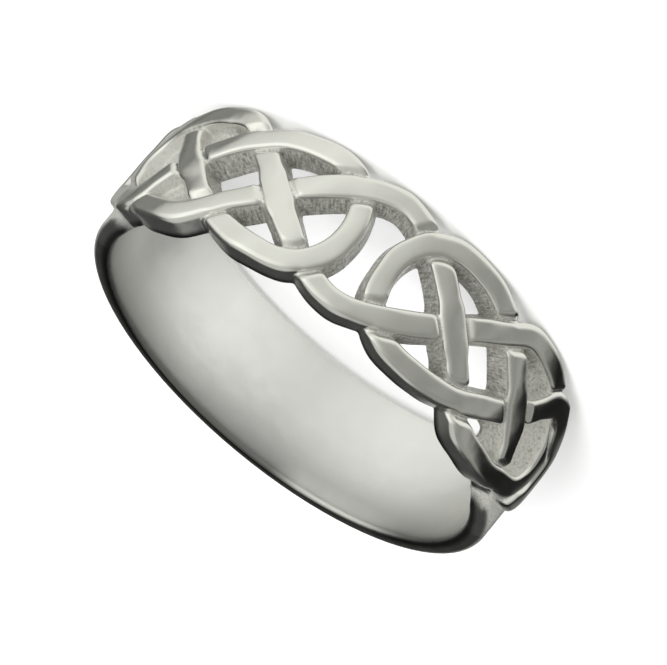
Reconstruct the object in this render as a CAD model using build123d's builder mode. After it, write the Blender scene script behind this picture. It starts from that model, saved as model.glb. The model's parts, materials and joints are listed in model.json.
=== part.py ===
"""A celtic ring: one cast silver band, plain behind, with a pierced interlace in front.

The ring lies on its side. +Z is the axis of the finger hole, and z = 0 is the side that it rests on.
The middle of the interlace faces -Y. A place on the band is given by its turn, in degrees about +Z from
the middle of the interlace, and by its height above the mid plane. Unrolled, the turn is a length.
"""
from build123d import *
from math import atan2, cos, degrees, hypot, radians, sin
import os

# Driving dimensions, in millimetres
finger_diameter = 17.5
band_width = 6.0
shank_taper = 0.33
shank_thickness = 0.88
knot_thickness = 1.30
strand_width = 0.93
slot_width = 1.10
groove_width = 0.50
groove_depth = 0.35
recess_depth = 0.65
dip_depth = 0.35
ramp_length = 0.75
pinhole_width = 0.75
pinhole_height = 0.50
outer_rounding = 0.25
inner_rounding = 0.18

# The columns of crossings and the turns at their ends, in degrees of turn
first_column = 10.2
second_column = 25.6
third_column = 38.0
fourth_column = 53.2
fifth_column = 64.5
u_turn = 75.7
loop_corner = 82.5
shank_step = 2.0
first_arch = 22.1
groove_corner = 73.0
pinhole_turn = 48.0

inner_radius = finger_diameter / 2
knot_radius = inner_radius + knot_thickness
shank_radius = inner_radius + shank_thickness
mid_height = band_width / 2
half_strand = strand_width / 2
border_row = mid_height - half_strand
# A cutter starts this far outside the surface, and ends as far inside the finger hole
overshoot = knot_thickness / 2


def turn_of(length):
    """The turn, in degrees, of a length along the outside of the interlace."""
    return degrees(length / knot_radius)


slot_bend = turn_of((slot_width + strand_width) / 2)
loop_end = u_turn + turn_of(strand_width + groove_width)
shoulder_end = loop_end + turn_of(half_strand)
shank_start = shoulder_end + shank_step

# Points of the interlace's upper right quarter: turn in degrees, height as a share of the border row
points = {
    "border": (0.0, 0.97),
    "slot": (slot_bend, 0.0),
    "cross_a": (first_column, 0.76),
    "arch_ac": (first_arch, 1.0),
    "cross_b": (second_column, 0.0),
    "cross_c": (third_column, 0.70),
    "arch_ce": ((third_column + fifth_column) / 2, 1.0),
    "cross_d": (fourth_column, 0.0),
    "cross_e": (fifth_column, 0.78),
    "arch_e": ((fifth_column + loop_end) / 2, 1.0),
    "shoulder": (loop_end, 0.78),
    "loop_corner": (loop_corner, 0.52),
    "loop_tip": (shank_start, 0.0),
    "u_turn": (u_turn, 0.0),
    "groove": (groove_corner, 0.75),
    "pinhole": (pinhole_turn, 0.65),
}

# Closed outlines round each gap, along the middles of its strands. A stretch of two points is straight,
# and one of three is an arc. "low" is the same point below the mid plane, "left" the one left of the middle.
slot_outline = [
    ("cross_a", "border", "cross_a left"),
    ("cross_a left", "slot left", "cross_a low left"),
    ("cross_a low left", "border low", "cross_a low"),
    ("cross_a low", "slot", "cross_a"),
]
pierced_outlines = [
    [("cross_a low", "slot", "cross_a"), ("cross_a", "cross_b"), ("cross_b", "cross_a low")],
    [("cross_a", "arch_ac", "cross_c"), ("cross_c", "cross_b"), ("cross_b", "cross_a")],
    [("cross_a low", "arch_ac low", "cross_c low"), ("cross_c low", "cross_b"), ("cross_b", "cross_a low")],
    [("cross_b", "cross_c"), ("cross_c", "cross_d"), ("cross_d", "cross_c low"), ("cross_c low", "cross_b")],
]
recess_outlines = [
    [("cross_c", "arch_ce", "cross_e"), ("cross_e", "cross_d"), ("cross_d", "cross_c")],
    [("cross_c low", "arch_ce low", "cross_e low"), ("cross_e low", "cross_d"), ("cross_d", "cross_c low")],
    [("cross_e", "u_turn", "cross_e low"), ("cross_e low", "cross_d"), ("cross_d", "cross_e")],
]

# Each crossing, with two points that give the way of the strand on top, and two for the one below
crossings = [
    ("cross_a", ("slot", "arch_ac"), ("border", "cross_b")),
    ("cross_a low", ("border low", "cross_b"), ("slot", "arch_ac low")),
    ("cross_b", ("cross_a", "cross_c low"), ("cross_a low", "cross_c")),
    ("cross_c", ("cross_b", "cross_c"), ("cross_c", "cross_d")),
    ("cross_c low", ("cross_c low", "cross_d"), ("cross_b", "cross_c low")),
    ("cross_d", ("cross_c", "cross_e low"), ("cross_c low", "cross_e")),
    ("cross_e", ("cross_d", "cross_e"), ("arch_ce", "u_turn")),
    ("cross_e low", ("arch_ce low", "u_turn"), ("cross_d", "cross_e low")),
]


def unrolled(name, half):
    """A named point's length and height on the unrolled band. half is 1, or -1 for the left half.

    The left half is the right half turned half way round about the middle of the interlace.
    """
    point, *marks = name.split()
    turn, share = points[point]
    length = radians(turn) * knot_radius * (-1 if "left" in marks else 1)
    height = share * border_row * (-1 if "low" in marks else 1)
    return half * length, half * height


def touching_plane(length, height=0.0):
    """The plane that touches the outside of the interlace at a place on the unrolled band."""
    angle = length / knot_radius
    across = Vector(cos(angle), sin(angle), 0)
    outward = Vector(sin(angle), -cos(angle), 0)
    place = outward * knot_radius + Vector(0, 0, mid_height + height)
    return Plane(place, x_dir=across, z_dir=outward)


def cut_inward(face, depth):
    """Cut a face that stands clear of the outside, down to a depth below the outside."""
    extrude(face, amount=-(overshoot + depth), mode=Mode.SUBTRACT)


def cut_gap(outline, half, depth):
    """Cut one gap. Its strands' middles are the outline, so the gap is drawn in by half a strand."""
    lengths = [unrolled(name, half)[0] for stretch in outline for name in stretch]
    middle = (min(lengths) + max(lengths)) / 2
    with BuildSketch(touching_plane(middle).offset(overshoot)) as gap:
        with BuildLine():
            for stretch in outline:
                places = [unrolled(name, half) for name in stretch]
                corners = [(length - middle, height) for length, height in places]
                if len(corners) == 3:
                    ThreePointArc(*corners)
                else:
                    Line(*corners)
        make_face()
        offset(amount=-half_strand, kind=Kind.INTERSECTION, mode=Mode.REPLACE)
    cut_inward(gap.sketch, depth)


def cut_border(start, peak, end, stop, half):
    """Trim the band's side to the outer edge of one border arc, from its start to its stop."""
    start_length, start_height = unrolled(start, half)
    peak_length, peak_height = unrolled(peak, half)
    end_length, end_height = unrolled(end, half)
    stop_length, _ = unrolled(stop, half)
    trimmed = abs(stop_length - start_length)
    middle = (start_length + stop_length) / 2
    outside = band_width if peak_height > 0 else -band_width
    with BuildSketch(touching_plane(middle).offset(overshoot)) as trim:
        with Locations((0, (start_height + outside) / 2)):
            Rectangle(trimmed, abs(outside - start_height))
        with BuildSketch(mode=Mode.PRIVATE) as strand:
            with BuildLine():
                ThreePointArc(
                    (start_length - middle, start_height),
                    (peak_length - middle, peak_height),
                    (end_length - middle, end_height),
                )
                Line((end_length - middle, end_height), (start_length - middle, start_height))
            make_face()
            offset(amount=half_strand, mode=Mode.REPLACE)
        add(strand.sketch, mode=Mode.SUBTRACT)
    cut_inward(trim.sketch, knot_thickness + overshoot)


def cut_loop_sides(half):
    """Past the last crossings, trim the thick front to the outer edge of the loop."""
    start_length, start_height = unrolled("cross_e", half)
    corner_length, corner_height = unrolled("loop_corner", half)
    tip_length, _ = unrolled("loop_tip", half)
    middle = (start_length + tip_length) / 2
    start = (start_length - middle, start_height)
    low_start = (start_length - middle, -start_height)
    corner = (corner_length - middle, corner_height)
    low_corner = (corner_length - middle, -corner_height)
    with BuildSketch(touching_plane(middle).offset(overshoot)) as trim:
        with Locations((middle - start_length, 0)):
            Rectangle(4 * abs(middle - start_length), 2 * band_width)
        with BuildSketch(mode=Mode.PRIVATE) as loop:
            with BuildLine():
                Polyline(low_corner, low_start, start, corner)
                ThreePointArc(corner, (tip_length - middle, 0), low_corner)
            make_face()
            offset(amount=half_strand, mode=Mode.REPLACE)
        add(loop.sketch, mode=Mode.SUBTRACT)
    cut_inward(trim.sketch, knot_thickness + overshoot)


def cut_ramps(crossing, half):
    """Let the lower strand dip on both sides of the strand that crosses over it."""
    name, over, under = crossing
    ways = []
    for before, after in (over, under):
        length_a, height_a = unrolled(before, half)
        length_b, height_b = unrolled(after, half)
        ways.append(atan2(height_b - height_a, length_b - length_a))
    over_way, under_way = ways
    apart = under_way - over_way
    touching = touching_plane(*unrolled(name, half))
    along = touching.x_dir * cos(over_way) + touching.y_dir * sin(over_way)
    beside = touching.y_dir * cos(over_way) - touching.x_dir * sin(over_way)
    lead = (half_strand + ramp_length / 2) * cos(apart) / sin(apart)
    span = strand_width / abs(sin(apart))
    for side in (1, -1):
        near = side * half_strand
        far = side * (half_strand + ramp_length)
        with BuildSketch(Plane(touching.origin + along * side * lead, x_dir=beside, z_dir=along)) as ramp:
            with BuildLine():
                Polyline((near, overshoot), (near, -dip_depth), (far, 0), (far, overshoot), close=True)
            make_face()
        extrude(ramp.sketch, amount=span / 2, both=True, mode=Mode.SUBTRACT)


def cut_groove(half):
    """The shallow crescent between the U-turn and the loop that runs round it."""
    middle = radians(u_turn) * knot_radius * half
    corner_length, corner_height = unrolled("groove", half)
    inner = half * half_strand
    outer = half * (half_strand + groove_width)
    corner = (corner_length - middle, corner_height)
    low_corner = (corner_length - middle, -corner_height)
    with BuildSketch(touching_plane(middle).offset(overshoot)) as groove:
        with BuildLine():
            ThreePointArc(corner, (inner, 0), low_corner)
            ThreePointArc(low_corner, (outer, 0), corner)
        make_face()
    cut_inward(groove.sketch, groove_depth)


def cut_pinhole():
    """The one small hole through a recess, in the left half beside the upper border."""
    with BuildSketch(touching_plane(*unrolled("pinhole left", 1)).offset(overshoot)) as hole:
        RectangleRounded(pinhole_width, pinhole_height, pinhole_height / 3)
    cut_inward(hole.sketch, knot_thickness + overshoot)


def around(radius, turn):
    """A point of the plan, at a radius and a turn."""
    return radius * sin(radians(turn)), -radius * cos(radians(turn))


def rims(solid, low_radius, high_radius):
    """A solid's edges on and beside its two side faces, between two radii from the finger hole's axis."""
    beside = solid.edges().filter_by(lambda edge: abs(edge.center().Z - mid_height) > mid_height / 2)
    return beside.filter_by(lambda edge: low_radius < hypot((edge @ 0.5).X, (edge @ 0.5).Y) < high_radius)


with BuildPart() as front:
    # The thick front lies on the shank's ring, as far as the loops' ends, which slope down to it
    foot_radius = 2 * shank_radius - knot_radius
    foot_turn = shank_start + shank_step
    bed_radius = inner_radius + inner_rounding
    with BuildSketch():
        with BuildLine():
            ThreePointArc(
                around(knot_radius, -shoulder_end),
                around(knot_radius, 0),
                around(knot_radius, shoulder_end),
            )
            for side in (1, -1):
                Polyline(
                    around(knot_radius, side * shoulder_end),
                    around(foot_radius, side * foot_turn),
                    around(bed_radius, side * foot_turn),
                )
            ThreePointArc(
                around(bed_radius, -foot_turn),
                around(bed_radius, 0),
                around(bed_radius, foot_turn),
            )
        make_face()
    extrude(amount=band_width)
    fillet(rims(front, shank_radius + outer_rounding, knot_radius + outer_rounding), radius=outer_rounding)
    for half in (1, -1):
        cut_loop_sides(half)

with BuildPart() as ring_band:
    with BuildSketch():
        Circle(shank_radius)
        Circle(inner_radius, mode=Mode.SUBTRACT)
    extrude(amount=band_width)

    # The shank narrows evenly towards the back, by the taper on each side
    for side_height, inward in ((0, shank_taper), (band_width, -shank_taper)):
        with BuildSketch(Plane.YZ) as wedge:
            with BuildLine():
                Polyline(
                    (0, side_height),
                    (shank_radius, side_height + inward),
                    (shank_radius, side_height - inward),
                    (0, side_height - inward),
                    close=True,
                )
            make_face()
        extrude(wedge.sketch, amount=knot_radius, both=True, mode=Mode.SUBTRACT)

    fillet(rims(ring_band, shank_radius - outer_rounding, knot_radius), radius=outer_rounding)
    fillet(rims(ring_band, 0, inner_radius + inner_rounding), radius=inner_rounding)
    add(front.part)

    cut_gap(slot_outline, 1, knot_thickness + overshoot)
    for half in (1, -1):
        for outline in pierced_outlines:
            cut_gap(outline, half, knot_thickness + overshoot)
        for outline in recess_outlines:
            cut_gap(outline, half, recess_depth)
        cut_groove(half)
        cut_border("cross_a left", "border", "cross_a", "cross_a", half)
        for low in ("", " low"):
            cut_border("cross_a" + low, "arch_ac" + low, "cross_c" + low, "cross_c" + low, half)
            cut_border("cross_c" + low, "arch_ce" + low, "cross_e" + low, "cross_e" + low, half)
            cut_border("cross_e" + low, "arch_e" + low, "shoulder" + low, "arch_e" + low, half)
        for crossing in crossings:
            cut_ramps(crossing, half)
    cut_pinhole()

ring_band.part.label = "ring_band"
os.makedirs("parts", exist_ok=True)
export_step(ring_band.part, "parts/ring_band.step")
print("volume mm3", round(ring_band.part.volume, 2))
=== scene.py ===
"""The dressed celtic ring: cast and polished silver, lying on its side on a pale floor.

The ring's mesh is the zero level of a field of distances. The field is worked out on an unrolled grid of
length, height and depth, from the same plait as the solid's, and the grid is then bent round the finger
hole. Lengths are in millimetres until the mesh is written in metres.
"""
import json
import math

import bpy
import numpy as np
from mathutils import Matrix, Vector


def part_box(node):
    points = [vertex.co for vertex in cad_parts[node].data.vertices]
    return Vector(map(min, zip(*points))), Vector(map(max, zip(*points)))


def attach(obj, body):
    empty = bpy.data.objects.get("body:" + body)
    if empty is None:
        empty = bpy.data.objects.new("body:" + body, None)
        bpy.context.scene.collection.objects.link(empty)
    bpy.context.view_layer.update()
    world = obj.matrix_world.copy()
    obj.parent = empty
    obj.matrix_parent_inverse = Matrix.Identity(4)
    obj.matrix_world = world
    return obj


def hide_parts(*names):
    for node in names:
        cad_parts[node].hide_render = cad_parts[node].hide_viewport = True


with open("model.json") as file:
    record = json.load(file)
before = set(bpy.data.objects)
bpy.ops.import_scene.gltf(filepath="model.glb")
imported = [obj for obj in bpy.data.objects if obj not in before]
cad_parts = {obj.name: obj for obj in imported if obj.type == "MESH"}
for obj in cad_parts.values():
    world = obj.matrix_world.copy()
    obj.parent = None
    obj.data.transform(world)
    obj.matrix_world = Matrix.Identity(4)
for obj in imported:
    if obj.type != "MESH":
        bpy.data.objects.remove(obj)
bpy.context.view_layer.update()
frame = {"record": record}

MM = 0.001

# Sizes from the frame
hole = next(m for m in frame["record"]["mounts"] if m["name"] == "finger_hole")
low_corner, high_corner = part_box("ring_band")
INNER_RADIUS = hole["dims"]["r_mm"]
BAND_WIDTH = hole["dims"]["length_mm"]
KNOT_RADIUS = -low_corner.y / MM
KNOT_THICKNESS = KNOT_RADIUS - INNER_RADIUS
SHANK_THICKNESS = high_corner.y / MM - INNER_RADIUS
MID_HEIGHT = BAND_WIDTH / 2

# Sizes of the casting
STRAND_WIDTH = 0.93
SLOT_WIDTH = 1.10
GROOVE_WIDTH = 0.50
SHANK_INSET = 0.25
FLOOR_THICKNESS = 0.62
STRAND_CROWN = 0.03
WALL_DRAFT = 0.17
DRAFT_FADE = 0.2
TOP_ROUNDING = 0.13
OUTER_ROUNDING = 0.26
OUTER_FADE = 0.3
SIDE_ROUNDING = 0.06
JOIN_ROUNDING = 0.05
BORE_ROUNDING = 0.20
SHANK_ROUNDING = 0.32

# The pinhole is drilled aslant: turn and row at the bore, and at the top of the floor round it
PINHOLE_BORE = (-52.0, 1.32)
PINHOLE_TOP = (-48.0, 1.62)
PINHOLE_WIDTH = 1.05
PINHOLE_HEIGHT = 0.62
PINHOLE_ROUNDING = 0.25
PINHOLE_DEPTH = 0.85

# The lower strand dips under a crossing, by a ramp that starts a little inside the upper strand's edge
DIP = 0.28
RAMP = 0.40
RAMP_OVERLAP = 0.04

# The upper bars of these crossings are a little wider, and narrow again along the strand
WIDE_CROSSINGS = ("cross_b", "cross_d", "cross_e")
BAR_EXTRA = 0.09
BAR_EXTRA_FADE = (0.6, 1.25)

# Hand-made wander, as a seed, a size, a wavelength and a number of waves
LENGTH_WANDER = (11, 0.016, 2.2, 7)
HEIGHT_WANDER = (12, 0.014, 2.4, 7)
TOP_WANDER = (13, 0.014, 1.7, 8)
EDGE_WANDER = (14, 0.006, 1.5, 8)
FLOOR_WANDER = (21, 0.03, 1.3, 6)
TOP_DROP = 0.021

# Columns of the plait, in degrees of turn from its middle
FIRST, SECOND, THIRD, FOURTH, FIFTH, U_TURN = 10.2, 25.6, 38.0, 53.2, 64.5, 75.7

BORDER_ROW = MID_HEIGHT - STRAND_WIDTH / 2
DEGREE = math.radians(1.0) * KNOT_RADIUS
SLOT_BEND = (SLOT_WIDTH + STRAND_WIDTH) / 2 / DEGREE
LOOP_END = U_TURN + (STRAND_WIDTH + GROOVE_WIDTH) / DEGREE
SHOULDER_END = LOOP_END + STRAND_WIDTH / 2 / DEGREE

# The wander ends over these turns, and the shank's slab spreads and is tucked in under the strands
WANDER_END = (SHOULDER_END - 6.0, SHOULDER_END + 4.0)
SLAB_SPREAD = 12.0
SLAB_TUCK = 0.10

# The border line is at its full height past this turn
BORDER_END = FIFTH + 4.0

# Where each finish starts and is full: depths under the top and over the bore, heights past the border
# strand's middle, and turns
TOP_POLISH = (0.30, 0.14)
BORE_POLISH = (0.04, 0.12)
# Depths over the bore across which its painted shade and painted reflections fade out
SHADE_DEPTH = (0.22, 0.50)
OUTSIDE_POLISH = (-0.05, 0.15)
OUTSIDE_SHARE = 0.96
SHANK_POLISH = (LOOP_END - 3.0, SHOULDER_END + 4.0)
END_CELLS = (FOURTH - 6.0, FOURTH + 4.0)

# Points of the right half: turn in degrees, height as a share of the border row
POINTS = {
    "border": (0.0, 0.97),
    "border_side": (5.1, 0.905),
    "slot": (SLOT_BEND, 0.0),
    "slot_side": (SLOT_BEND + 0.95, 0.38),
    "cross_a": (FIRST, 0.76),
    "bar_ab": (17.6, 0.42),
    "arch_ac_in": (15.2, 0.945),
    "arch_ac": (22.1, 0.985),
    "arch_ac_out": (31.0, 0.89),
    "cross_b": (SECOND, 0.0),
    "bar_bc": (31.9, -0.37),
    "cross_c": (THIRD, 0.70),
    "arch_ce_in": (43.6, 0.95),
    "arch_ce": (51.0, 0.985),
    "arch_ce_out": (58.3, 0.92),
    "bar_cd": (45.7, 0.36),
    "cross_d": (FOURTH, 0.0),
    "bar_de": (58.8, -0.39),
    "cross_e": (FIFTH, 0.78),
    "u_side": (72.6, 0.50),
    "u_turn": (U_TURN, 0.0),
    "arch_e": (74.0, 0.64),
    "loop_side": (81.0, 0.46),
    "loop_end": (LOOP_END, 0.0),
}

# The right half's strands as routes over those points. "low" is the same point below the mid plane.
# Along each strand the crossings go under and over in turn, and the long strand starts under.
LONG_ROUTE = [
    "border", "border_side", "cross_a", "bar_ab", "cross_b", "bar_bc", "cross_c low", "arch_ce_in low",
    "arch_ce low", "arch_ce_out low", "cross_e low", "u_side low", "u_turn", "u_side", "cross_e",
    "arch_ce_out", "arch_ce", "arch_ce_in", "cross_c", "bar_bc low", "cross_b", "bar_ab low", "cross_a low",
    "border_side low",
]
LOOP_ROUTE = [
    "slot", "slot_side", "cross_a", "arch_ac_in", "arch_ac", "arch_ac_out", "cross_c", "bar_cd", "cross_d",
    "bar_de", "cross_e low", "arch_e low", "loop_side low", "loop_end", "loop_side",
    "arch_e", "cross_e", "bar_de low", "cross_d", "bar_cd low", "cross_c low",
    "arch_ac_out low", "arch_ac low", "arch_ac_in low", "cross_a low", "slot_side low",
]

# The silver's colours and how rough it is in the bore
POLISHED = (0.80, 0.795, 0.765, 1.0)
CAST_DARK = (0.22, 0.218, 0.195, 1.0)
CAST_LIGHT = (0.74, 0.735, 0.685, 1.0)
CAST_EVEN = (0.56, 0.556, 0.52, 1.0)
CAST_METALLIC = 0.55
BORE_COLOUR = (0.86, 0.86, 0.82, 1.0)
BORE_ROUGHNESS = 0.16
BORE_HAZE = 0.45

# How dull the casting is in the gaps, how much painted light lifts the end cells, and how much evener
# and less grained the end cells are
CAST_TONES = (0.36, 0.64)
CAST_ROUGHNESS = (0.55, 0.38)
END_CELL_PAINTED_LIGHT = 0.50
EVEN_SHARE = 0.7
EVEN_GRAIN = 0.3
POLISHED_ROUGHNESS = (0.13, 0.20)

# Noise in the silver: its scale over millimetres, its detail and its roughness
GRAIN = (9.0, 4.0, 0.65)
GRAIN_RANGE = (0.3, 0.7)
CLOUDS = (1.3, 2.0)
CLOUD_RANGE = (0.35, 0.65)
WAVINESS = (1.6, 1.0)
STROKES = (1.0, 2.0)
STROKE_STRETCH = (11.0, 11.0, 1.6)
SCRATCHES = (1.0, 3.0, 0.7)
SCRATCH_STRETCH = (0.9, 24.0, 0.9)
WAVE_DEPTH = 0.010
SCRATCH_DEPTH = 0.0035
SCRATCH_STRENGTH = 0.5
GRAIN_DEPTH = 0.05

# Painted shade and painted reflections in the bore's colour: how bright the bore is painted round the ring,
# by turn, and across it, by height from the mid plane, with painted shade towards its upper rim. Between two
# turns the rim keeps more of a painted bright reflection. A painted dark reflection lies in a patch: its
# turn, its height, how wide and high it is, and how much light it takes.
BORE_AROUND = [(90, 0.76), (130, 0.76), (150, 0.90), (178, 0.70), (208, 0.86), (240, 0.76), (270, 0.70)]
BORE_ACROSS = [(0.0, 1.0), (1.0, 0.88), (1.8, 0.66), (2.3, 0.48), (2.7, 0.20), (2.95, 0.06)]
BORE_ACROSS_LIT_RIM = [(0.0, 1.0), (1.0, 0.90), (1.8, 0.72), (2.3, 0.80), (2.7, 0.75), (2.95, 0.08)]
LIT_RIM_START = (186.0, 194.0)
LIT_RIM_END = (214.0, 232.0)
BORE_DARK_REFLECTION = (115.0, -0.9, 11.0, 1.7, 0.42)

# The grid of the field
FINE_STEP = 0.088
COARSE_STEP = 0.75
STEP_GROWTH = 1.2
FINE_TURN = 89.0
HEIGHT_MARGIN = 0.16
CURVE_STEP = 0.06
CURVE_SPARE = 1.2
STRAND_REACH = 0.75
SETTLE_ROUNDS = 3
LEAST_SLOPE = 0.25
DEPTH_RANGES = [(-0.12, 0.26, 0.055), (0.27, 0.80, 0.085), (0.82, KNOT_THICKNESS + 0.16, 0.055)]


def smoothstep(low, high, value):
    """0 below low, 1 above high, and a smooth rise between them."""
    share = np.clip((value - low) / (high - low), 0.0, 1.0)
    return share * share * (3.0 - 2.0 * share)


def round_max(a, b, radius):
    """The field where two shapes overlap, with their common edge rounded."""
    corner = np.sqrt(np.maximum(a + radius, 0.0) ** 2 + np.maximum(b + radius, 0.0) ** 2)
    return np.minimum(np.maximum(a, b), -radius) + corner


def round_min(a, b, radius):
    """The field of two shapes joined, with a small hollow round where they meet."""
    corner = np.sqrt(np.maximum(radius - a, 0.0) ** 2 + np.maximum(radius - b, 0.0) ** 2)
    return np.maximum(np.minimum(a, b), radius) - corner


def waves(seed, wavelength, count, *axes):
    """Smooth noise of about unit size: a sum of seeded plane waves near one wavelength."""
    rng = np.random.default_rng(seed)
    total = 0.0
    for _ in range(count):
        way = rng.normal(size=len(axes))
        way *= 2.0 * math.pi / (wavelength * rng.uniform(0.7, 1.5)) / np.linalg.norm(way)
        phase = rng.uniform(0.0, 2.0 * math.pi)
        total = total + np.sin(sum(w * axis for w, axis in zip(way, axes)) + phase)
    return total * math.sqrt(2.0 / count)


def wander(kind, *axes):
    """Smooth noise of a named kind."""
    seed, size, wavelength, count = kind
    return size * waves(seed, wavelength, count, *axes)


def closed_spline(knots, step):
    """A smooth closed curve through knots, as a row of points for each span from a knot to the next."""
    gaps = np.linalg.norm(np.roll(knots, -1, axis=0) - knots, axis=1)
    count = len(knots)
    matrix = np.zeros((count, count))
    right = np.zeros((count, 2))
    for i in range(count):
        before, after = gaps[i - 1], gaps[i]
        following = (i + 1) % count
        matrix[i, i - 1] += after
        matrix[i, i] += 2.0 * (before + after)
        matrix[i, following] += before
        rise_before = (knots[i] - knots[i - 1]) / before
        rise_after = (knots[following] - knots[i]) / after
        right[i] = 3.0 * (after * rise_before + before * rise_after)
    slopes = np.linalg.solve(matrix, right)
    spans = []
    for i in range(count):
        following = (i + 1) % count
        share = np.linspace(0.0, 1.0, max(3, int(gaps[i] / step) + 1))[:, None]
        gap = gaps[i]
        spans.append(
            (2 * share**3 - 3 * share**2 + 1) * knots[i]
            + (share**3 - 2 * share**2 + share) * gap * slopes[i]
            + (3 * share**2 - 2 * share**3) * knots[following]
            + (share**3 - share**2) * gap * slopes[following]
        )
    return spans


def unrolled(name, half):
    """A named point's length and height when unrolled. The left half is the right one turned half round."""
    point, *marks = name.split()
    turn, share = POINTS[point]
    return half * turn * DEGREE, half * share * BORDER_ROW * (-1 if marks else 1)


def strand_pieces():
    """Every strand cut half way between its crossings, so that each piece has one crossing.

    A piece knows its strand, the crossing's name, whether it goes over, its curve with some of the next
    pieces at both ends, the range of the curve's steps that are its own, and the crossing's step.
    """
    closed_routes = [([(name, 1) for name in LONG_ROUTE] + [(name, -1) for name in LONG_ROUTE], False)]
    for half in (1, -1):
        closed_routes.append(([(name, half) for name in LOOP_ROUTE], True))
    spare = int(CURVE_SPARE / CURVE_STEP)
    pieces = []
    for strand, (route, over) in enumerate(closed_routes):
        knots = np.array([unrolled(name, half) for name, half in route])
        spans = closed_spline(knots, CURVE_STEP)
        starts = np.cumsum([0] + [len(span) - 1 for span in spans])
        line = np.concatenate([span[:-1] for span in spans])
        count = len(line)
        places = [(starts[i], knot) for i, knot in enumerate(route) if knot[0].startswith("cross")]
        for i, (place, knot) in enumerate(places):
            before = places[i - 1][0] - (count if i == 0 else 0)
            after = places[(i + 1) % len(places)][0] + (count if i == len(places) - 1 else 0)
            first, last = (before + place) // 2, (place + after) // 2
            curve = line[np.arange(first - spare, last + spare + 1) % count]
            pieces.append({
                "strand": strand, "crossing": knot, "over": over, "curve": curve,
                "own": (spare, spare + last - first), "middle": spare + place - first,
            })
            over = not over
    return pieces


def distance_to(curve, lengths, heights):
    """How far each place is from a curve, on which side of it, and the number of the nearest step."""
    best = np.full(lengths.shape, np.inf)
    side = np.ones(lengths.shape)
    nearest = np.zeros(lengths.shape, int)
    for i, (a, b) in enumerate(zip(curve[:-1], curve[1:])):
        way = b - a
        share = ((lengths - a[0]) * way[0] + (heights - a[1]) * way[1]) / (way @ way)
        share = np.clip(share, 0.0, 1.0)
        across = way[0] * (heights - a[1]) - way[1] * (lengths - a[0])
        off = np.hypot(lengths - a[0] - share * way[0], heights - a[1] - share * way[1])
        nearer = off < best
        best[nearer] = off[nearer]
        side[nearer] = np.where(across[nearer] < 0.0, -1.0, 1.0)
        nearest[nearer] = i
    return best, side, nearest


def grid_lengths():
    """Places along the unrolled band: fine round the interlace and coarse along the shank's back."""
    half_round = 180.0 * DEGREE
    fine = np.arange(0.0, FINE_TURN * DEGREE, FINE_STEP)
    places = list(fine)
    step = FINE_STEP
    while places[-1] + step < half_round - step / 2:
        places.append(places[-1] + step)
        step = min(step * STEP_GROWTH, COARSE_STEP)
    right = np.array(places)
    return np.concatenate([-right[:0:-1], right])


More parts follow.
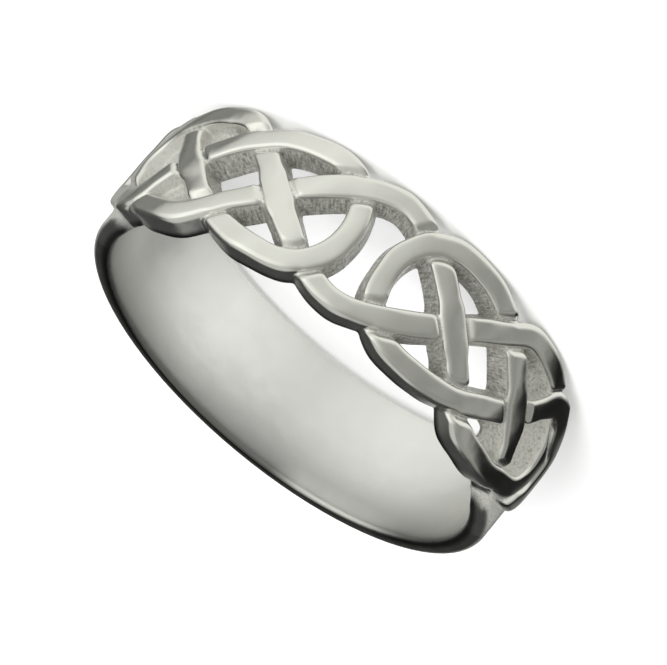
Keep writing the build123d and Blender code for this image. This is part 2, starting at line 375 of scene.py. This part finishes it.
def band_field():
    """The field on the grid, with the grid's axes and two maps for the finish."""
    length_axis = grid_lengths()
    top_height = MID_HEIGHT + HEIGHT_MARGIN
    height_axis = np.linspace(-top_height, top_height, int(2 * top_height / FINE_STEP) + 1)
    depth_axis = np.concatenate([np.arange(*part) for part in DEPTH_RANGES])
    lengths, heights = np.meshgrid(length_axis, height_axis, indexing="ij")
    turns = np.abs(lengths) / DEGREE
    depth = depth_axis[None, :]
    in_knots = 1.0 - smoothstep(*WANDER_END, turns)
    border_height = border_line(turns)

    # The hand-made wander of the strands
    bent_lengths = lengths + in_knots * wander(LENGTH_WANDER, lengths, heights)
    bent_heights = heights + in_knots * wander(HEIGHT_WANDER, lengths, heights)
    edge_wander = in_knots * wander(EDGE_WANDER, lengths, heights)
    top_wander = in_knots * (wander(TOP_WANDER, lengths, heights) - TOP_DROP)

    pieces = strand_pieces()
    over_curves = {piece["crossing"]: piece["curve"] for piece in pieces if piece["over"]}
    strands = [np.full(lengths.shape + (len(depth_axis),), 1.0) for _ in range(3)]
    across = np.zeros(lengths.shape)
    highest = np.zeros(lengths.shape)
    half_width = STRAND_WIDTH / 2
    reach = half_width + STRAND_REACH
    for piece in pieces:
        curve = piece["curve"]
        near = (lengths > curve[:, 0].min() - reach) & (lengths < curve[:, 0].max() + reach)
        near &= (heights > curve[:, 1].min() - reach) & (heights < curve[:, 1].max() + reach)
        off, side, step = distance_to(curve, bent_lengths[near], bent_heights[near])
        own = (step >= piece["own"][0]) & (step < piece["own"][1]) & (off < reach)
        near[near] = own
        off, side, step = off[own], side[own], step[own]
        top = KNOT_THICKNESS + top_wander[near] - STRAND_CROWN * np.minimum(off / half_width, 1.0) ** 2
        top = np.minimum(top, KNOT_THICKNESS)
        if not piece["over"]:
            over_curve = over_curves[piece["crossing"]]
            over_off, _, _ = distance_to(over_curve, bent_lengths[near], bent_heights[near])
            top -= DIP * (1.0 - smoothstep(half_width - RAMP_OVERLAP, half_width + RAMP, over_off))
        past_border = np.abs(heights[near]) - border_height[near]
        slope = WALL_DRAFT * (1.0 - smoothstep(-DRAFT_FADE, DRAFT_FADE, past_border))
        edge = half_width + edge_wander[near]
        if piece["over"] and piece["crossing"][0] in WIDE_CROSSINGS:
            along = np.abs(step - piece["middle"]) * CURVE_STEP
            edge += BAR_EXTRA * (1.0 - smoothstep(*BAR_EXTRA_FADE, along))
        wall = off[:, None] - edge[:, None] - slope[:, None] * (top[:, None] - depth)
        is_outer = smoothstep(0.0, OUTER_FADE, past_border)
        rounding = TOP_ROUNDING + (OUTER_ROUNDING - TOP_ROUNDING) * is_outer
        shape = round_max(wall, depth - top[:, None], rounding[:, None])
        whole = strands[piece["strand"]]
        whole[near] = np.minimum(whole[near], shape)
        shown = np.where(off < half_width, top, 0.0)
        across[near] = np.where(shown > highest[near], side * off, across[near])
        highest[near] = np.maximum(highest[near], shown)
    field = strands[0]
    for strand in strands[1:]:
        field = round_min(field, strand, JOIN_ROUNDING)

    # The grained floors of the outer cells, and the slab of the shoulders and the shank
    bar_end = POINTS["cross_c"][1] * BORDER_ROW
    bar_turn = FOURTH - np.abs(heights) / bar_end * (FOURTH - THIRD)
    floor_top = FLOOR_THICKNESS + wander(FLOOR_WANDER, lengths, heights)
    floor_side = np.maximum((bar_turn - turns) * DEGREE, np.abs(heights) - border_height)
    floor_side = np.maximum(floor_side, (turns - LOOP_END) * DEGREE)
    floor = np.maximum(floor_side[:, :, None], depth[None] - floor_top[:, :, None])
    field = round_min(field, floor, JOIN_ROUNDING)

    cross_row = POINTS["cross_e"][1] * BORDER_ROW
    slab_half = cross_row + half_width - SLAB_TUCK
    spread = smoothstep(FIFTH, FIFTH + SLAB_SPREAD, turns)
    slab_half = slab_half + (MID_HEIGHT - SHANK_INSET - slab_half) * spread
    slab_start = FIFTH + (U_TURN - FIFTH) * np.sqrt(np.maximum(1.0 - (heights / cross_row) ** 2, 0.0))
    slab_side = np.abs(heights) - slab_half
    slab_top = np.broadcast_to(depth[None] - SHANK_THICKNESS, field.shape)
    slab = round_max(np.broadcast_to(slab_side[:, :, None], field.shape), slab_top, SHANK_ROUNDING)
    slab = np.maximum(slab, ((slab_start - turns) * DEGREE)[:, :, None])
    field = round_min(field, slab, 2.0 * JOIN_ROUNDING)

    # The pinhole, the bore and the side faces
    slant = depth_axis / FLOOR_THICKNESS
    hole_turns = PINHOLE_BORE[0] + (PINHOLE_TOP[0] - PINHOLE_BORE[0]) * slant
    hole_rows = PINHOLE_BORE[1] + (PINHOLE_TOP[1] - PINHOLE_BORE[1]) * slant
    beside = np.abs(lengths[:, :, None] - hole_turns * DEGREE) - PINHOLE_WIDTH / 2 + PINHOLE_ROUNDING
    above = np.abs(heights[:, :, None] - hole_rows) - PINHOLE_HEIGHT / 2 + PINHOLE_ROUNDING
    hole = np.hypot(np.maximum(beside, 0.0), np.maximum(above, 0.0)) - PINHOLE_ROUNDING
    hole += np.minimum(np.maximum(beside, above), 0.0)
    hole = np.maximum(hole, depth[None] - PINHOLE_DEPTH)
    field = round_max(field, -hole, JOIN_ROUNDING)
    field = round_max(field, np.broadcast_to(-depth[None], field.shape), BORE_ROUNDING)
    side_faces = np.abs(heights) - MID_HEIGHT
    field = round_max(field, np.broadcast_to(side_faces[:, :, None], field.shape), SIDE_ROUNDING)
    return field, (length_axis, height_axis, depth_axis), across, border_height


def border_line(turns):
    """Height of the outermost strand's middle at each turn."""
    names = [
        "border", "border_side", "cross_a", "arch_ac_in", "arch_ac", "arch_ac_out", "cross_c", "arch_ce_in",
        "arch_ce", "arch_ce_out", "cross_e",
    ]
    table = [POINTS[name] for name in names] + [(BORDER_END, 1.0), (180.0, 1.0)]
    return np.interp(turns, [t for t, _ in table], [share * BORDER_ROW for _, share in table])


def in_grid(cell, cells):
    """Whether cells are within the grid's second and third axes."""
    return (cell[:, 1] >= 0) & (cell[:, 1] < cells[1]) & (cell[:, 2] >= 0) & (cell[:, 2] < cells[2])


def surface_net(field):
    """The zero level of a field, as points and four-sided faces. The first axis closes on itself."""
    count_a, count_b, count_c = field.shape
    cells = (count_a, count_b - 1, count_c - 1)
    total = np.zeros(cells + (3,))
    hits = np.zeros(cells)
    inside = field < 0.0
    crossings = []
    for axis in range(3):
        if axis == 0:
            here, there = field, np.roll(field, -1, axis=0)
            sign_here, sign_there = inside, np.roll(inside, -1, axis=0)
        else:
            cut = [slice(None)] * 3
            cut[axis] = slice(0, -1)
            here, sign_here = field[tuple(cut)], inside[tuple(cut)]
            cut[axis] = slice(1, None)
            there, sign_there = field[tuple(cut)], inside[tuple(cut)]
        at = np.argwhere(sign_here != sign_there)
        value_here = here[tuple(at.T)]
        value_there = there[tuple(at.T)]
        share = value_here / (value_here - value_there)
        crossings.append((axis, at, sign_here[tuple(at.T)]))
        others = [other for other in range(3) if other != axis]
        for first in (0, 1):
            for second in (0, 1):
                cell = at.copy()
                cell[:, others[0]] -= first
                cell[:, others[1]] -= second
                offset = np.zeros((len(at), 3))
                offset[:, axis] = share
                offset[:, others[0]] = first
                offset[:, others[1]] = second
                cell[:, 0] %= count_a
                ok = in_grid(cell, cells)
                index = tuple(cell[ok].T)
                np.add.at(total, index, offset[ok])
                np.add.at(hits, index, 1.0)
    used = np.argwhere(hits > 0)
    number = np.full(cells, -1, int)
    number[tuple(used.T)] = np.arange(len(used))
    mean = total[tuple(used.T)] / hits[tuple(used.T)][:, None]
    faces = []
    for axis, at, starts_inside in crossings:
        others = [other for other in range(3) if other != axis]
        corners = []
        for first, second in ((0, 0), (1, 0), (1, 1), (0, 1)):
            cell = at.copy()
            cell[:, others[0]] -= first
            cell[:, others[1]] -= second
            cell[:, 0] %= count_a
            corners.append(cell)
        ok = np.ones(len(at), bool)
        for cell in corners:
            ok &= in_grid(cell, cells)
        quad = np.stack([number[tuple(cell[ok].T)] for cell in corners], axis=1)
        flip = starts_inside[ok] if axis != 1 else ~starts_inside[ok]
        quad[~flip] = quad[~flip][:, ::-1]
        faces.append(quad)
    return used, mean, np.concatenate(faces)


def place_along(axis, used, mean, closed):
    """Grid coordinates to lengths along one axis."""
    if closed:
        full = 360.0 * DEGREE
        padded = np.append(axis, axis[0] + full)
    else:
        padded = axis
    return padded[used] + mean * (padded[used + 1] - padded[used])


def between(grid, axes, places):
    """A grid's value at places between its points."""
    cells, shares = [], []
    for axis, along in zip(axes, places.T):
        cell = np.clip(np.searchsorted(axis, along) - 1, 0, len(axis) - 2)
        cells.append(cell)
        shares.append((along - axis[cell]) / (axis[cell + 1] - axis[cell]))
    total = 0.0
    for corner in np.ndindex(2, 2, 2):
        weight = 1.0
        for share, far in zip(shares, corner):
            weight = weight * (share if far else 1.0 - share)
        value = grid[tuple(cell + far for cell, far in zip(cells, corner))]
        total = total + (weight[:, None] if value.ndim > 1 else weight) * value
    return total


def settle(field, axes, places):
    """Move places onto the field's zero level, and return them with the field's slopes there."""
    closed = np.concatenate([field, field[:1]])
    closed_axes = (np.append(axes[0], axes[0][0] + 360.0 * DEGREE),) + axes[1:]
    slopes = np.stack(np.gradient(closed, *closed_axes), axis=-1)
    for _ in range(SETTLE_ROUNDS):
        value = between(closed, closed_axes, places)
        slope = between(slopes, closed_axes, places)
        step = -value[:, None] * slope / np.maximum((slope**2).sum(1), LEAST_SLOPE)[:, None]
        places = places + np.clip(step, -FINE_STEP / 2, FINE_STEP / 2)
    return places, between(slopes, closed_axes, places)


def bore_shade(turns, rows):
    """How bright the bore's silver is painted: painted shade towards the upper rim, less of it where the rim
    keeps a painted bright reflection, and a painted dark reflection in one patch by the shoulder.
    """
    around = np.interp(turns, *zip(*BORE_AROUND))
    plain = np.interp(rows, *zip(*BORE_ACROSS))
    lit_rim_rows = np.interp(rows, *zip(*BORE_ACROSS_LIT_RIM))
    has_lit_rim = smoothstep(*LIT_RIM_START, turns) * (1.0 - smoothstep(*LIT_RIM_END, turns))
    turn, row, wide, high, strength = BORE_DARK_REFLECTION
    patch = 1.0 - strength * np.exp(-(((turns - turn) / wide) ** 2) - ((rows - row) / high) ** 2)
    return around * patch * (plain + (lit_rim_rows - plain) * has_lit_rim)


def add_attribute(mesh, name, values):
    """Numbers or vectors at the mesh's points, for the material."""
    is_vector = values.ndim > 1
    attribute = mesh.attributes.new(name, "FLOAT_VECTOR" if is_vector else "FLOAT", "POINT")
    attribute.data.foreach_set("vector" if is_vector else "value", values.astype(np.float32).ravel())


def build_ring():
    """The ring's mesh, in metres, with how polished each point is and where it is on the unrolled band."""
    field, axes, across, border_height = band_field()
    used, mean, faces = surface_net(field)
    places = np.stack([place_along(axes[i], used[:, i], mean[:, i], i == 0) for i in range(3)], axis=1)
    places, slopes = settle(field, axes, places)
    length, height, depth = places.T
    depth = np.maximum(depth, 0.0)
    height = np.clip(height, -MID_HEIGHT, MID_HEIGHT)
    radius = INNER_RADIUS + depth
    angle = length / KNOT_RADIUS
    points = np.stack([radius * np.sin(angle), -radius * np.cos(angle), MID_HEIGHT + height], axis=1) * MM
    mesh = bpy.data.meshes.new("silver_ring")
    mesh.from_pydata(points.tolist(), [], faces.tolist())
    mesh.update()
    mesh.shade_smooth()
    along = slopes[:, 0] * KNOT_RADIUS / radius
    normals = np.stack([
        along * np.cos(angle) + slopes[:, 2] * np.sin(angle),
        along * np.sin(angle) - slopes[:, 2] * np.cos(angle),
        slopes[:, 1],
    ], axis=1)
    normals /= np.linalg.norm(normals, axis=1)[:, None]
    mesh.normals_split_custom_set_from_vertices(normals.tolist())
    turns = np.abs(length) / DEGREE
    cells = (used[:, 0], used[:, 1])
    top_start, top_full = TOP_POLISH
    top = smoothstep(KNOT_THICKNESS - top_start, KNOT_THICKNESS - top_full, depth)
    bore = 1.0 - smoothstep(*BORE_POLISH, depth)
    outside = OUTSIDE_SHARE * smoothstep(*OUTSIDE_POLISH, np.abs(height) - border_height[cells])
    shank = smoothstep(*SHANK_POLISH, turns)
    shade = bore_shade((length / DEGREE) % 360.0, height)
    add_attribute(mesh, "polish", np.maximum.reduce([top, bore, outside, shank]))
    add_attribute(mesh, "bore", bore)
    # The bore's painted shade and painted reflections, fading out away from the bore
    add_attribute(mesh, "shade", shade + (1.0 - shade) * smoothstep(*SHADE_DEPTH, depth))
    # The end cells, whose cast tone is lifted by painted light and whose strokes give way to plain grain
    add_attribute(mesh, "lit_end_cells", smoothstep(*END_CELLS, turns))
    add_attribute(mesh, "even", smoothstep(*END_CELLS, length / DEGREE))
    add_attribute(mesh, "lines", np.stack([length, across[cells], depth], axis=1))
    add_attribute(mesh, "unrolled", np.stack([length, height, depth], axis=1))
    ring = bpy.data.objects.new("silver_ring", mesh)
    bpy.context.scene.collection.objects.link(ring)
    print("ring points", len(points), "faces", len(faces))
    return ring


def add_node(tree, kind, inputs, **settings):
    """A shader node with its settings and inputs. An input is a number, a tuple or another node's output."""
    made = tree.nodes.new("ShaderNode" + kind)
    for name, value in settings.items():
        setattr(made, name, value)
    for name, value in inputs.items():
        if isinstance(value, bpy.types.NodeSocket):
            tree.links.new(value, made.inputs[name])
        else:
            made.inputs[name].default_value = value
    return made


def blend_node(tree, share, first, second):
    """A colour between two others."""
    made = add_node(tree, "Mix", {"Factor": share}, data_type="RGBA")
    for socket, value in ((made.inputs[6], first), (made.inputs[7], second)):
        if isinstance(value, bpy.types.NodeSocket):
            tree.links.new(value, socket)
        else:
            socket.default_value = value
    return made.outputs[2]


def math_node(tree, operation, first, second=0.0):
    """One sum on two numbers."""
    return add_node(tree, "Math", {0: first, 1: second}, operation=operation).outputs[0]


def noise_node(tree, vector, scale, detail, roughness=0.55):
    """Noise from 0 to 1 over a vector in millimetres."""
    inputs = {"Vector": vector, "Scale": scale, "Detail": detail, "Roughness": roughness}
    return add_node(tree, "TexNoise", inputs).outputs["Fac"]


def stretched(tree, vector, scales):
    """A vector with each part scaled, for noise that is longer one way."""
    return add_node(tree, "VectorMath", {0: vector, 1: scales}, operation="MULTIPLY").outputs["Vector"]


def level(tree, value, low, high, new_low, new_high):
    """A number moved from one range to another, and kept within it."""
    inputs = {"Value": value, "From Min": low, "From Max": high, "To Min": new_low, "To Max": new_high}
    return add_node(tree, "MapRange", inputs).outputs["Result"]


def attribute_node(tree, name, output="Fac"):
    """One of the mesh's attributes."""
    return add_node(tree, "Attribute", {}, attribute_name=name).outputs[output]


def silver_material():
    """Cast silver: polished on top, outside and in the bore, grained and dull in the gaps."""
    material = bpy.data.materials.new("silver")
    material.use_nodes = True
    tree = material.node_tree
    shader = tree.nodes["Principled BSDF"]

    def times(first, second):
        """The product of two numbers."""
        return math_node(tree, "MULTIPLY", first, second)

    polish, bore, shade, lit_end_cells, even = [
        attribute_node(tree, name) for name in ("polish", "bore", "shade", "lit_end_cells", "even")
    ]
    unrolled_place = attribute_node(tree, "unrolled", "Vector")
    line_place = attribute_node(tree, "lines", "Vector")
    place = stretched(tree, add_node(tree, "TexCoord", {}).outputs["Object"], (1.0 / MM,) * 3)
    dullness = math_node(tree, "SUBTRACT", 1.0, polish)

    grain = noise_node(tree, place, *GRAIN)
    clouds = noise_node(tree, place, *CLOUDS)
    waviness = noise_node(tree, place, *WAVINESS)
    strokes = noise_node(tree, stretched(tree, unrolled_place, STROKE_STRETCH), *STROKES)
    scratches = noise_node(tree, stretched(tree, line_place, SCRATCH_STRETCH), *SCRATCHES)

    # The strokes give way to plain grain in the end cells
    stroked = times(strokes, math_node(tree, "SUBTRACT", 1.0, lit_end_cells))
    strokes = math_node(tree, "ADD", stroked, times(grain, lit_end_cells))
    streaked = math_node(tree, "ADD", times(grain, 0.5), times(strokes, 0.5))
    cast_tone = level(tree, streaked, *CAST_TONES, 0.0, 1.0)
    # Painted light lifts the cast tone in the end cells
    cast_tone = level(tree, math_node(tree, "ADD", cast_tone, times(lit_end_cells, END_CELL_PAINTED_LIGHT)), 0.0, 1.0, 0.0, 1.0)
    cast_colour = blend_node(tree, cast_tone, CAST_DARK, CAST_LIGHT)
    cast_colour = blend_node(tree, times(even, EVEN_SHARE), cast_colour, CAST_EVEN)
    smooth_colour = blend_node(tree, bore, POLISHED, BORE_COLOUR)
    # Painted shade and painted reflections darken the silver of the bore and its rim
    smooth_colour = blend_node(tree, shade, (0.0, 0.0, 0.0, 1.0), smooth_colour)
    tree.links.new(blend_node(tree, polish, cast_colour, smooth_colour), shader.inputs["Base Color"])
    bare = math_node(tree, "SUBTRACT", polish, times(bore, BORE_HAZE))
    tree.links.new(level(tree, bare, 0.0, 1.0, CAST_METALLIC, 1.0), shader.inputs["Metallic"])

    cast_rough = level(tree, grain, *GRAIN_RANGE, *CAST_ROUGHNESS)
    polished_rough = level(tree, clouds, *CLOUD_RANGE, *POLISHED_ROUGHNESS)
    polished_rough = math_node(tree, "ADD", polished_rough, times(bore, BORE_ROUGHNESS))
    rough = math_node(tree, "ADD", times(cast_rough, dullness), times(polished_rough, polish))
    tree.links.new(rough, shader.inputs["Roughness"])

    wavy = add_node(tree, "Bump", {"Strength": 1.0, "Distance": WAVE_DEPTH * MM, "Height": waviness})
    scratched = add_node(tree, "Bump", {
        "Strength": times(math_node(tree, "SUBTRACT", polish, bore), SCRATCH_STRENGTH),
        "Distance": SCRATCH_DEPTH * MM, "Height": scratches, "Normal": wavy.outputs["Normal"],
    })
    grained = add_node(tree, "Bump", {
        "Strength": times(dullness, level(tree, even, 0.0, 1.0, 1.0, EVEN_GRAIN)),
        "Distance": GRAIN_DEPTH * MM, "Height": math_node(tree, "ADD", grain, times(strokes, 0.5)),
        "Normal": scratched.outputs["Normal"],
    })
    tree.links.new(grained.outputs["Normal"], shader.inputs["Normal"])
    return material


# The camera of the photograph, fitted to the ring's rims
PHOTO_WIDTH, PHOTO_HEIGHT = 667, 665
CAMERA_ELEVATION = math.radians(21.0)
CAMERA_AZIMUTH = math.radians(-5.3)
CAMERA_ROLL = math.radians(-140.223)
CAMERA_DISTANCE = 25.0 * INNER_RADIUS * MM
CAMERA_AIM = 2.825
PIXELS_PER_RADIUS = 223.254
CENTRE_PIXEL = (330.875, 334.92)
SENSOR = 36.0
CLIP_START = 0.001

# The floor, and the part of the table inside the ring, in metres and millimetres
FLOOR_REACH = 1.0
FLOOR_COLOUR = (0.97, 0.97, 0.97, 1.0)
FLOOR_ROUGHNESS = 0.8
PATCH_CORNERS = 48
PATCH_GAP = 0.2
PATCH_HEIGHT = 0.01


def make_camera():
    """The camera, turned so that the ring lies across the picture as it does in the photograph."""
    right = Vector((math.cos(CAMERA_AZIMUTH), math.sin(CAMERA_AZIMUTH), 0.0))
    back = Vector((
        math.sin(CAMERA_AZIMUTH) * math.cos(CAMERA_ELEVATION),
        -math.cos(CAMERA_AZIMUTH) * math.cos(CAMERA_ELEVATION),
        math.sin(CAMERA_ELEVATION),
    ))
    up = back.cross(right)
    side = math.cos(CAMERA_ROLL) * right + math.sin(CAMERA_ROLL) * up
    top = -math.sin(CAMERA_ROLL) * right + math.cos(CAMERA_ROLL) * up
    data = bpy.data.cameras.new("camera")
    data.sensor_width = SENSOR
    data.lens = PIXELS_PER_RADIUS * CAMERA_DISTANCE / (INNER_RADIUS * MM) * SENSOR / PHOTO_WIDTH
    data.shift_x = (PHOTO_WIDTH / 2 - CENTRE_PIXEL[0]) / PHOTO_WIDTH
    data.shift_y = (CENTRE_PIXEL[1] - PHOTO_HEIGHT / 2) / PHOTO_WIDTH
    data.clip_start = CLIP_START
    camera = bpy.data.objects.new("camera", data)
    place = Vector((0.0, 0.0, CAMERA_AIM * MM)) + back * CAMERA_DISTANCE
    turn = Matrix((side, top, back)).transposed()
    camera.matrix_world = Matrix.Translation(place) @ turn.to_4x4()
    bpy.context.scene.collection.objects.link(camera)
    bpy.context.scene.camera = camera


def make_floor():
    """A plain pale floor, which the silver doesn't mirror. Its material is also the table patch's."""
    mesh = bpy.data.meshes.new("floor")
    reach = FLOOR_REACH
    corners = [(-reach, -reach, 0.0), (reach, -reach, 0.0), (reach, reach, 0.0), (-reach, reach, 0.0)]
    mesh.from_pydata(corners, [], [(0, 1, 2, 3)])
    floor = bpy.data.objects.new("floor", mesh)
    bpy.context.scene.collection.objects.link(floor)
    material = bpy.data.materials.new("floor")
    material.use_nodes = True
    shader = material.node_tree.nodes["Principled BSDF"]
    shader.inputs["Base Color"].default_value = FLOOR_COLOUR
    shader.inputs["Roughness"].default_value = FLOOR_ROUGHNESS
    shader.inputs["Specular IOR Level"].default_value = 0.0
    mesh.materials.append(material)
    floor.visible_glossy = False
    return material


def make_table_patch(material):
    """The part of the table inside the ring, which only the bore mirrors."""
    mesh = bpy.data.meshes.new("table_patch")
    turns = [2.0 * math.pi * i / PATCH_CORNERS for i in range(PATCH_CORNERS)]
    radius = (INNER_RADIUS - PATCH_GAP) * MM
    corners = [(radius * math.cos(turn), radius * math.sin(turn), PATCH_HEIGHT * MM) for turn in turns]
    mesh.from_pydata(corners, [], [tuple(range(PATCH_CORNERS))])
    mesh.materials.append(material)
    patch = bpy.data.objects.new("table_patch", mesh)
    bpy.context.scene.collection.objects.link(patch)
    patch.visible_camera = False
    patch.visible_diffuse = False
    patch.visible_shadow = False


# What the silver mirrors: how bright it is at each turn from the front that a mirrored ray leaves at. Low
# rays meet the table and its edges, and high ones the softbox, the room and the dark card behind.
LOW_STUDIO = [
    (-180, 0.36), (-160, 0.20), (-146, 0.02), (-108, 0.01), (-98, 0.06), (-88, 0.42),
    (-72, 0.28), (-60, 0.38), (-50, 0.30), (-30, 0.42), (5, 0.66), (48, 0.96), (80, 0.78), (97, 0.64),
    (107, 0.22), (122, 0.28), (132, 0.14), (145, 0.46), (180, 0.34),
]
HIGH_STUDIO = [
    (-180, 0.03), (-120, 0.03), (-95, 0.34), (-60, 0.30), (-20, 0.48), (10, 0.78), (55, 1.25), (95, 0.80),
    (115, 0.10), (140, 0.05), (180, 0.03),
]
SOFTBOX_HEIGHT = (0.72, 0.90)
SOFTBOX_GLOW = 0.60
STUDIO_TINT = (0.99, 1.0, 0.94)
FLOOR_GLOW = 1.16
NEAR_TABLE = (-0.80, -0.50)
NEAR_TABLE_GLOW = 0.95
HIGH_START = (-0.12, 0.18)
KEY_STRENGTH = 1.5
KEY_SIZE = math.radians(28.0)
KEY_TURN = (math.radians(54.0), 0.0, math.radians(20.0))


def studio_ramp(tree, turn, rows):
    """A ring of light: its brightness at each turn."""
    ramp = add_node(tree, "ValToRGB", {"Fac": level(tree, turn, -math.pi, math.pi, 0.0, 1.0)})
    stops = ramp.color_ramp.elements
    top = max(glow for _, glow in rows)
    for i, (angle, glow) in enumerate(rows):
        place = angle / 360.0 + 0.5
        stop = stops[i] if i < 2 else stops.new(place)
        stop.position = place
        stop.color = (glow / top, glow / top, glow / top, 1.0)
    return math_node(tree, "MULTIPLY", ramp.outputs["Color"], top)


def make_light():
    """A white room for the floor, and for the silver a studio that is bright on one side and dark behind."""
    world = bpy.data.worlds.new("studio")
    world.use_nodes = True
    tree = world.node_tree
    ray = add_node(tree, "TexCoord", {}).outputs["Generated"]
    parts = add_node(tree, "SeparateXYZ", {"Vector": ray}).outputs
    turn = math_node(tree, "ARCTAN2", parts["X"], math_node(tree, "MULTIPLY", parts["Y"], -1.0))
    low = studio_ramp(tree, turn, LOW_STUDIO)
    high = studio_ramp(tree, turn, HIGH_STUDIO)
    rise = level(tree, parts["Z"], *HIGH_START, 0.0, 1.0)
    softbox = level(tree, parts["Z"], *SOFTBOX_HEIGHT, 0.0, 1.0)
    around = blend_node(tree, rise, low, high)
    glow = blend_node(tree, softbox, around, (SOFTBOX_GLOW,) * 3 + (1.0,))
    below = level(tree, parts["Z"], *NEAR_TABLE, 1.0, 0.0)
    glow = blend_node(tree, below, glow, (NEAR_TABLE_GLOW,) * 3 + (1.0,))
    tinted = add_node(tree, "VectorMath", {0: glow, 1: STUDIO_TINT}, operation="MULTIPLY").outputs["Vector"]
    glossy = add_node(tree, "LightPath", {}).outputs["Is Glossy Ray"]
    seen = blend_node(tree, glossy, (FLOOR_GLOW,) * 3 + (1.0,), tinted)
    tree.links.new(seen, tree.nodes["Background"].inputs["Color"])
    bpy.context.scene.world = world

    sun = bpy.data.lights.new("key", "SUN")
    sun.energy = KEY_STRENGTH
    sun.angle = KEY_SIZE
    key = bpy.data.objects.new("key", sun)
    key.rotation_euler = KEY_TURN
    key.visible_glossy = False
    bpy.context.scene.collection.objects.link(key)


make_camera()
ring = build_ring()
ring.data.materials.append(silver_material())
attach(ring, "root")
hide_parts("ring_band")
make_table_patch(make_floor())
make_light()
bpy.context.scene.view_settings.view_transform = "Standard"
